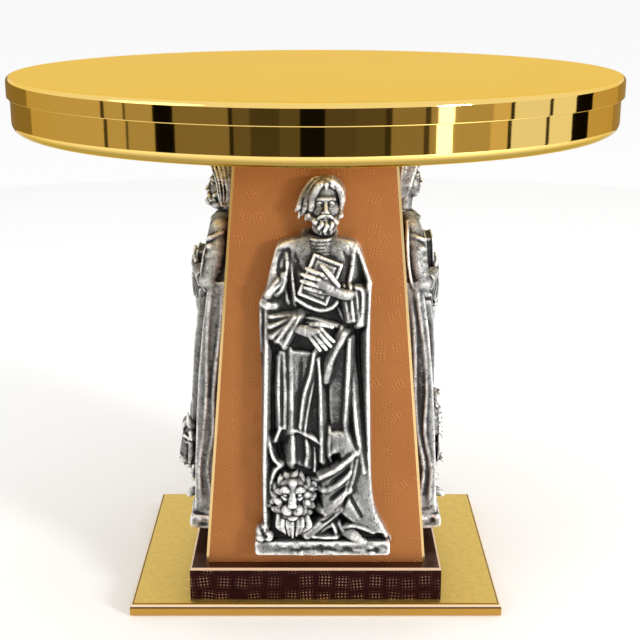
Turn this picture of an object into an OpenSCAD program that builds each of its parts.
// Monstrance stand: a round two-shell top on a tapered four-sided pedestal with
// four cast relief figures, a plinth and a rectangular foot plate, all drawn
// together by one central tie rod. Millimetres, +Z up, the front faces -Y, and
// the origin is the centre of the underside.

/* [Top] */
// Outer diameter of the top cover
top_d = 250; // [220:1:300]
// Height of the closed top, cover and pan together
top_h = 21.6; // [20:0.1:30]
// Height of the cover's skirt, from its lower edge to the top face
cover_skirt_h = 7.8; // [7:0.1:12]
// Outer radius of the cover's upper edge
cover_edge_r = 2; // [2:0.1:5]
// Outer radius of the pan's lower edge
pan_edge_r = 4; // [2:0.1:6]
// Thickness of the spun brass sheet
sheet_t = 1.3; // [0.8:0.1:1.6]

/* [Pedestal] */
// Width of the pedestal at its foot
pedestal_foot_w = 92.4; // [80:0.2:100]
// Width of the pedestal under the top
pedestal_head_w = 64.2; // [56:0.2:76]
// Height of the pedestal
pedestal_h = 178.7; // [165:0.1:200]
// Thickness of each pedestal panel
panel_t = 3; // [2.5:0.1:4]
// Width of the polished flat along each pedestal corner
corner_flat = 1.6; // [0.8:0.1:3]

/* [Plinth and foot] */
// Side of the square plinth
plinth_w = 105; // [98:1:110]
// Height of the plinth
plinth_h = 14.2; // [14:0.1:20]
// Width of the foot plate, across the front
foot_w = 155; // [130:1:200]
// Depth of the foot plate, front to back
foot_d = 114; // [112:1:180]
// Thickness of the foot plate
foot_t = 5; // [4.8:0.1:6]
// Radius of the foot plate's upper edge
foot_edge_r = 2.2; // [1:0.1:2.6]
// Thickness of the felt under the foot plate
felt_t = 1.5; // [1.2:0.1:2]
// Depth of the recess that holds the felt
felt_recess = 1; // [0.5:0.1:1.1]

/* [Figures] */
// Width of the slab each figure stands on
slab_w = 56; // [48:0.2:60]
// Height of the slab
slab_h = 6; // [5:0.5:9]
// How far the slab stands out from the panel
slab_d = 9; // [7:0.5:11]
// Gap between the slab and the plinth, along the panel
slab_gap = 6.2; // [2:0.1:8]
// Height of a figure above the underside of its slab
figure_h = 157; // [150:1:162]

/* [Fasteners] */
// Diameter of the tie rod
rod_d = 10; // [8:1:12]
// Diameter of the screws that hold the figures
figure_screw_d = 4; // [3:0.5:5]
// Diameter of the screws between foot plate and plinth
foot_screw_d = 5; // [4:0.5:5]

/* [Hidden] */

$fn = 96;
eps = 0.5;              // how far a cutting tool runs past the face it cuts
thread_gap = 0.02;      // radial gap between a screw and the thread that holds it
hole_gap = 0.3;         // radial gap of a clearance hole
seat_gap = 0.02;        // gap between soldered parts, so that they touch without overlap

// heights of the stack, from the surface that the stand rests on
foot_z = felt_t - felt_recess;
plinth_z = foot_z + foot_t;
pedestal_z = plinth_z + plinth_h;
top_z = pedestal_z + pedestal_h;
cover_z = top_z + top_h - cover_skirt_h;

tilt = atan((pedestal_foot_w - pedestal_head_w) / 2 / pedestal_h);
cover_r = top_d / 2;
pan_r = cover_r - sheet_t - 0.1;
core_r = pan_r - pan_edge_r - 1;
core_h = top_h - 2 * sheet_t;

plate_t = 4;            // thickness of the cap and floor plates in the pedestal
socket_r = 22;
socket_flange_t = 4;
boss_r = 9;
boss_h = 12;
socket_screw_r = 2;
socket_screw_l = 12;
socket_screw_ring = 16;
plinth_roof_t = 4;
plinth_wall_t = 5;
plinth_edge = 0.8;      // polished chamfer round the plinth's upper edge
foot_boss_at = 38;
foot_boss_r = 7;
foot_screw_l = 12;
nut_access_r = 18;
washer_r = 13;
washer_t = 2;
spring_washer_r = 9;
spring_washer_t = 2.2;
nut_r = 9.8;
nut_h = 8;
rod_tail = 1.5;         // length of rod below the nut
pin_r = 2;
pin_l = 7;
pin_at = 30;
screw_low = 30;         // height of each figure's lower screw above its slab's underside
screw_high = 110;
screw_bite = 7;         // length of screw inside the figure
washer_ring_r = 4.5;
washer_ring_t = 0.8;
felt_margin = 4;

// ---------- shared shapes ----------

// A square prism that narrows evenly, the pedestal's outline at a given inset.
module frustum(inset = 0) {
    grow = inset / cos(tilt);
    foot = pedestal_foot_w - 2 * grow;
    head = pedestal_head_w - 2 * grow;
    linear_extrude(height = pedestal_h, scale = head / foot) square(foot, center = true);
}

// A quarter of the plan, bounded by the two diagonals, that contains the -Y side.
module front_quarter(reach, h) {
    linear_extrude(height = h) polygon([[0, 0], [-reach, -reach], [reach, -reach]]);
}

// Half of a shell's section: a flat disc with a rounded outer corner, seen from the axis outwards.
module rounded_disc_section(r, h, edge) {
    square([r - edge, h]);
    square([r, h - edge]);
    translate([r - edge, h - edge]) circle(r = edge);
}

// A bar section, w wide and h high, with both upper corners rounded.
module rounded_bar_section(w, h, edge) {
    translate([-w / 2, 0]) square([w, h - edge]);
    translate([-w / 2 + edge, 0]) square([w - 2 * edge, h]);
    for (side = [-1, 1])
        translate([side * (w / 2 - edge), h - edge]) circle(r = edge);
}

// A bar section with both upper corners cut at 45 degrees.
module chamfered_bar_section(w, h, edge) {
    polygon([[-w / 2, 0], [w / 2, 0], [w / 2, h - edge], [w / 2 - edge, h],
             [-w / 2 + edge, h], [-w / 2, h - edge]]);
}

// Places its children on one face of the pedestal: x across, z up along the panel, -y outwards.
module on_face(side) {
    along = slab_gap * cos(tilt);
    rotate([0, 0, 90 * side])
        translate([0, -pedestal_foot_w / 2 + slab_gap * sin(tilt), pedestal_z + along])
            rotate([-tilt, 0, 0]) children();
}

// Puts its children at the two screw places of a figure.
module at_figure_screws() {
    for (height = [screw_low, screw_high])
        translate([0, 0, height]) rotate([90, 0, 0]) children();
}

// A countersunk screw, head down, with its head's flat face at z = 0.
module countersunk_screw(r, l) {
    cylinder(r1 = 2 * r, r2 = r, h = r);
    cylinder(r = r, h = l);
}

// The hole for a countersunk screw, open at its underside.
module countersunk_hole(r, l) {
    cylinder(r1 = 2 * r + hole_gap, r2 = r + hole_gap, h = r);
    cylinder(r = r + hole_gap, h = l);
    translate([0, 0, -eps]) cylinder(r = 2 * r + hole_gap, h = eps);
}

module ring(inner, outer, h) {
    difference() {
        cylinder(r = outer, h = h);
        translate([0, 0, -eps]) cylinder(r = inner, h = h + 2 * eps);
    }
}

// ---------- the top ----------

module top_cover() {
    inner_h = cover_skirt_h - sheet_t + eps;
    color("gold") translate([0, 0, cover_z]) rotate_extrude($fn = 180) difference() {
        rounded_disc_section(cover_r, cover_skirt_h, cover_edge_r);
        translate([0, -eps])
            rounded_disc_section(cover_r - sheet_t, inner_h, cover_edge_r - sheet_t);
    }
}

module under_pan() {
    wall_h = top_h - cover_edge_r;
    inner_h = wall_h - sheet_t + eps;
    color("gold") translate([0, 0, top_z + wall_h]) mirror([0, 0, 1])
        rotate_extrude($fn = 180) difference() {
            rounded_disc_section(pan_r, wall_h, pan_edge_r);
            translate([0, -eps])
                rounded_disc_section(pan_r - sheet_t, inner_h, pan_edge_r - sheet_t);
            translate([0, -eps]) square([rod_d / 2 + hole_gap, wall_h + 2 * eps]);
        }
}

module at_socket_screws() {
    for (turn = [45 : 90 : 315]) rotate([0, 0, turn]) translate([socket_screw_ring, 0, 0]) children();
}

module core_disc() {
    color("burlywood") translate([0, 0, top_z + sheet_t]) difference() {
        cylinder(r = core_r, h = core_h);
        translate([0, 0, -eps]) cylinder(r = socket_r + hole_gap, h = socket_flange_t + eps);
        cylinder(r = boss_r + hole_gap, h = boss_h + 1);
        at_socket_screws() cylinder(r = socket_screw_r + thread_gap, h = socket_screw_l + 1);
    }
}

module rod_socket() {
    color("goldenrod") translate([0, 0, top_z + sheet_t]) difference() {
        union() {
            cylinder(r = socket_r, h = socket_flange_t);
            cylinder(r = boss_r, h = boss_h);
        }
        translate([0, 0, -eps]) cylinder(r = rod_d / 2 + thread_gap, h = boss_h + 2 * eps);
        at_socket_screws() countersunk_hole(socket_screw_r, socket_flange_t + eps);
    }
}

module socket_screws() {
    color("silver") translate([0, 0, top_z + sheet_t])
        at_socket_screws() countersunk_screw(socket_screw_r, socket_screw_l);
}

// ---------- the pedestal ----------

// One mitred panel with its two polished corner flats and the figure's screw holes.
module panel(side) {
    diagonal = pedestal_foot_w * sqrt(2) - corner_flat;
    color("peru") difference() {
        rotate([0, 0, 90 * side]) translate([0, 0, pedestal_z]) intersection() {
            difference() {
                frustum();
                frustum(inset = panel_t);
            }
            rotate([0, 0, 45])
                linear_extrude(height = pedestal_h,
                               scale = (pedestal_head_w * sqrt(2) - corner_flat) / diagonal)
                    square(diagonal, center = true);
            front_quarter(pedestal_foot_w, pedestal_h);
        }
        on_face(side) at_figure_screws()
            translate([0, 0, -panel_t - eps])
                cylinder(r = figure_screw_d / 2 + hole_gap, h = panel_t + 2 * eps);
    }
}

// A plate that fits between the panels, from height z, with a hole for the tie rod.
module inner_plate(z) {
    translate([0, 0, pedestal_z]) difference() {
        intersection() {
            frustum(inset = panel_t + seat_gap);
            translate([-pedestal_foot_w / 2, -pedestal_foot_w / 2, z])
                cube([pedestal_foot_w, pedestal_foot_w, plate_t]);
        }
        translate([0, 0, z - eps]) cylinder(r = rod_d / 2 + hole_gap, h = plate_t + 2 * eps);
    }
}

module cap_plate() {
    color("goldenrod") inner_plate(pedestal_h - plate_t);
}

module floor_plate() {
    color("goldenrod") difference() {
        inner_plate(0);
        at_pins() pin(hole = true);
    }
}

module at_pins() {
    for (side = [-1, 1])
        translate([side * pin_at, side * pin_at, pedestal_z - pin_l / 2]) children();
}

module pin(hole = false) {
    cylinder(r = pin_r + (hole ? thread_gap : 0), h = pin_l);
}

module locating_pins() {
    color("silver") at_pins() pin();
}

// ---------- plinth and foot ----------

module at_foot_screws() {
    for (x = [-1, 1], y = [-1, 1]) translate([x * foot_boss_at, y * foot_boss_at, 0]) children();
}

// A block, w wide and d deep, where two bars cross: one section runs front to back, the
// other side to side, so that both pairs of upper edges get the sections' corners.
module crossed_bars(w, d) {
    intersection() {
        translate([0, d / 2, 0]) rotate([90, 0, 0]) linear_extrude(height = d) children(0);
        translate([-w / 2, 0, 0]) rotate([90, 0, 90]) linear_extrude(height = w) children(1);
    }
}

module plinth() {
    inside_w = plinth_w - 2 * plinth_wall_t;
    color("saddlebrown") difference() {
        translate([0, 0, plinth_z]) {
            difference() {
                crossed_bars(plinth_w, plinth_w) {
                    chamfered_bar_section(plinth_w, plinth_h, plinth_edge);
                    chamfered_bar_section(plinth_w, plinth_h, plinth_edge);
                }
                translate([-inside_w / 2, -inside_w / 2, -eps])
                    cube([inside_w, inside_w, plinth_h - plinth_roof_t + eps]);
                cylinder(r = rod_d / 2 + hole_gap, h = plinth_h + eps);
            }
            at_foot_screws() cylinder(r = foot_boss_r, h = plinth_h - plinth_roof_t);
        }
        at_pins() pin(hole = true);
        translate([0, 0, foot_z + felt_recess]) at_foot_screws()
            cylinder(r = foot_screw_d / 2 + thread_gap, h = foot_screw_l + 0.5);
    }
}

module foot_plate() {
    color("gold") difference() {
        translate([0, 0, foot_z]) crossed_bars(foot_w, foot_d) {
            rounded_bar_section(foot_w, foot_t, foot_edge_r);
            rounded_bar_section(foot_d, foot_t, foot_edge_r);
        }
        translate([0, 0, -eps]) felt_outline(felt_t + eps);
        cylinder(r = nut_access_r, h = foot_z + foot_t + eps);
        translate([0, 0, foot_z + felt_recess]) at_foot_screws()
            countersunk_hole(foot_screw_d / 2, foot_t);
    }
}

module foot_screws() {
    color("silver") translate([0, 0, foot_z + felt_recess])
        at_foot_screws() countersunk_screw(foot_screw_d / 2, foot_screw_l);
}

module felt_outline(h) {
    translate([-foot_w / 2 + felt_margin, -foot_d / 2 + felt_margin, 0])
        cube([foot_w - 2 * felt_margin, foot_d - 2 * felt_margin, h]);
}

module felt_pad() {
    color("darkgreen") felt_outline(felt_t);
}

// ---------- the tie rod and its hardware, from the plinth's roof downwards ----------

washer_z = pedestal_z - plinth_roof_t - washer_t;
spring_washer_z = washer_z - spring_washer_t;
nut_z = spring_washer_z - nut_h;

module tie_rod() {
    rod_z = nut_z - rod_tail;
    color("silver") translate([0, 0, rod_z])
        cylinder(r = rod_d / 2, h = top_z + sheet_t + boss_h - rod_z);
}

module flat_washer() {
    color("silver") translate([0, 0, washer_z]) ring(rod_d / 2 + hole_gap, washer_r, washer_t);
}

// A split ring: the gap is cut across one side.
module spring_washer() {
    gap = 1.5;
    color("dimgray") translate([0, 0, spring_washer_z]) difference() {
        ring(rod_d / 2 + hole_gap, spring_washer_r, spring_washer_t);
        translate([0, -gap / 2, -eps]) cube([spring_washer_r + eps, gap, spring_washer_t + 2 * eps]);
    }
}

module rod_nut() {
    color("silver") translate([0, 0, nut_z]) difference() {
        cylinder(r = nut_r, h = nut_h, $fn = 6);
        translate([0, 0, -eps]) cylinder(r = rod_d / 2 + thread_gap, h = nut_h + 2 * eps);
    }
}

// ---------- the figures ----------

// A level slice of a figure: half an ellipse, w wide and d deep, flat against the panel.
module slice(z, w, d, x = 0) {
    translate([x, 0, z]) linear_extrude(height = 0.5) intersection() {
        scale([w / 2, d]) circle(r = 1, $fn = 32);
        translate([-w, -d]) square([2 * w, d]);
    }
}

// The slab, with rounded front corners.
module slab() {
    corner = 3;
    linear_extrude(height = slab_h) {
        translate([-slab_w / 2 + corner, -slab_d]) square([slab_w - 2 * corner, slab_d]);
        translate([-slab_w / 2, -slab_d + corner]) square([slab_w, slab_d - corner]);
        for (side = [-1, 1])
            translate([side * (slab_w / 2 - corner), -slab_d + corner]) circle(r = corner);
    }
}

// A standing robed figure in high relief. The slab is moved by slab_x, and the
// figure's animal or angel stands beside its feet at emblem_x, emblem_h tall.
module figure(side, slab_x, emblem_x, emblem_h, book_x) {
    hem_z = slab_h - 0.5;
    knee_z = 30;
    waist_z = figure_h * 0.53;
    armpit_z = figure_h - 31;
    shoulder_z = figure_h - 24;
    head_z = figure_h - 12;
    emblem_w = 20;
    color("silver") on_face(side) difference() {
        union() {
            translate([slab_x, 0, 0]) slab();
            hull() {
                slice(hem_z, 50, 11.5, slab_x / 2);
                slice(knee_z, 44, 11.5, slab_x / 4);
            }
            hull() {
                slice(knee_z, 44, 11.5, slab_x / 4);
                slice(waist_z, 44, 13);
            }
            hull() {
                slice(waist_z, 44, 13);
                slice(armpit_z, 36, 11.5);
            }
            hull() {
                slice(armpit_z, 36, 11.5);
                slice(shoulder_z, 20, 8);
            }
            hull() {
                slice(shoulder_z - 4, 10, 10);
                slice(head_z, 19, 15);
                slice(figure_h - 1, 9, 9);
            }
            hull() {
                slice(waist_z + 4, 18, 15, book_x);
                slice(armpit_z - 8, 18, 15, book_x);
            }
            hull() {
                slice(hem_z, emblem_w, 13, emblem_x);
                slice(slab_h + emblem_h * 0.6, emblem_w, 14.5, emblem_x);
                slice(slab_h + emblem_h, emblem_w / 2, 11, emblem_x);
            }
        }
        at_figure_screws() translate([0, 0, -eps])
            cylinder(r = figure_screw_d / 2 + thread_gap, h = screw_bite + 1 + eps);
    }
}

// Pan-head screws from inside the pedestal, through washer and panel, into the figures.
module figure_screws() {
    head_h = 2.6;
    shank = washer_ring_t + panel_t + screw_bite;
    color("silver") for (side = [0 : 3]) on_face(side) at_figure_screws()
        translate([0, 0, -panel_t - washer_ring_t]) {
            cylinder(r = figure_screw_d / 2, h = shank);
            translate([0, 0, -head_h]) cylinder(r = figure_screw_d, h = head_h);
        }
}

module figure_washers() {
    color("silver") for (side = [0 : 3]) on_face(side) at_figure_screws()
        translate([0, 0, -panel_t - washer_ring_t])
            ring(figure_screw_d / 2 + hole_gap, washer_ring_r, washer_ring_t);
}

// ---------- nodes ----------

top_cover();
under_pan();
core_disc();
rod_socket();
socket_screws();
cap_plate();
floor_plate();
panel(0);  // panel_front
panel(1);  // panel_right
panel(2);  // panel_back
panel(3);  // panel_left
figure(0, 2.8, -10, 34, 3);  // figure_front
figure(1, 0, -9, 46, 3);  // figure_right
figure(2, 0, 10, 46, -3);  // figure_back
figure(3, 0, 10, 40, -3);  // figure_left
figure_screws();
figure_washers();
locating_pins();
plinth();
foot_plate();
foot_screws();
felt_pad();
tie_rod();
flat_washer();
spring_washer();
rod_nut();
